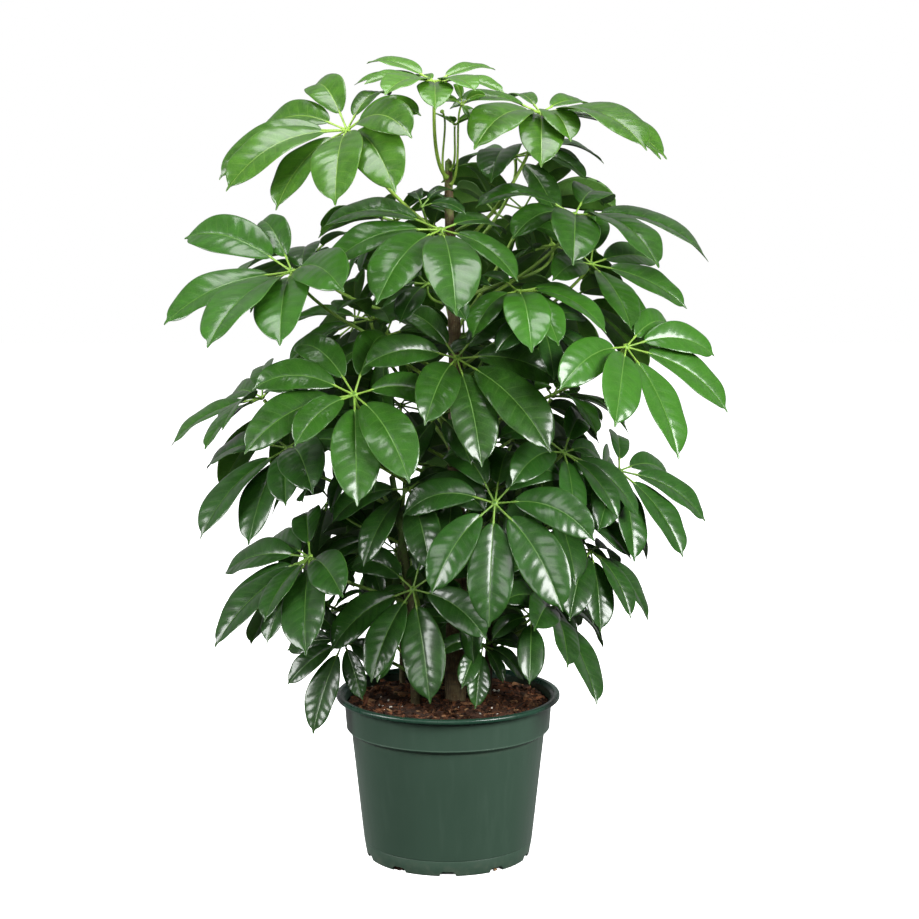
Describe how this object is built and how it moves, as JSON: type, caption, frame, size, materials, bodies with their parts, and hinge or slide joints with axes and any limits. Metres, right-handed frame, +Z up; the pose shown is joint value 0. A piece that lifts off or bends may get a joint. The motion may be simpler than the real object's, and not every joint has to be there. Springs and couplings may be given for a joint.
{
  "type": "potted umbrella plant",
  "caption": "Bushy umbrella plant with whorled glossy leaflets on long stalks, standing in a round tapered nursery pot filled with potting mix.",
  "frame": {"origin": "middle of the pot's flat underside, where it stands", "axes": "+Z up along the pot axis, -Y towards the viewer of the front, +X to the right"},
  "size_m": [0.6209, 0.4715, 0.9015],
  "materials": {
    "pot_plastic": "satin moulded polypropylene",
    "potting_mix": "loose damp bark and peat",
    "bark": "matte bark",
    "green_stem": "smooth green bark",
    "young_leaf": "waxy gloss",
    "leaf": "waxy gloss",
    "old_leaf": "waxy gloss"
  },
  "bodies": {
    "root": {"pot": "pot_plastic", "soil": "potting_mix", "trunk": "bark", "stem_left": "green_stem", "stem_right": "green_stem", "stem_back": "green_stem", "stem_thin": "green_stem", "leaf_01": "young_leaf", "leaf_02": "young_leaf", "leaf_03": "young_leaf", "leaf_04": "young_leaf", "leaf_05": "leaf", "leaf_06": "leaf", "leaf_07": "leaf", "leaf_08": "leaf", "leaf_09": "leaf", "leaf_10": "leaf", "leaf_11": "leaf", "leaf_12": "leaf", "leaf_13": "leaf", "leaf_14": "leaf", "leaf_15": "leaf", "leaf_16": "leaf", "leaf_17": "leaf", "leaf_18": "old_leaf", "leaf_19": "old_leaf", "leaf_20": "old_leaf", "leaf_21": "leaf", "leaf_22": "old_leaf", "leaf_23": "old_leaf", "leaf_24": "old_leaf", "leaf_25": "old_leaf", "leaf_26": "old_leaf", "leaf_27": "old_leaf", "leaf_28": "old_leaf", "leaf_29": "old_leaf", "leaf_30": "leaf", "leaf_31": "old_leaf", "leaf_32": "leaf", "leaf_33": "leaf", "leaf_34": "leaf", "leaf_35": "leaf", "leaf_36": "leaf", "leaf_37": "leaf", "leaf_38": "leaf", "leaf_39": "old_leaf", "leaf_40": "old_leaf", "leaf_41": "old_leaf", "leaf_42": "old_leaf", "leaf_43": "old_leaf", "leaf_44": "old_leaf", "leaf_45": "old_leaf", "leaf_46": "old_leaf", "leaf_47": "old_leaf", "leaf_48": "old_leaf"}
  },
  "joints": []
}
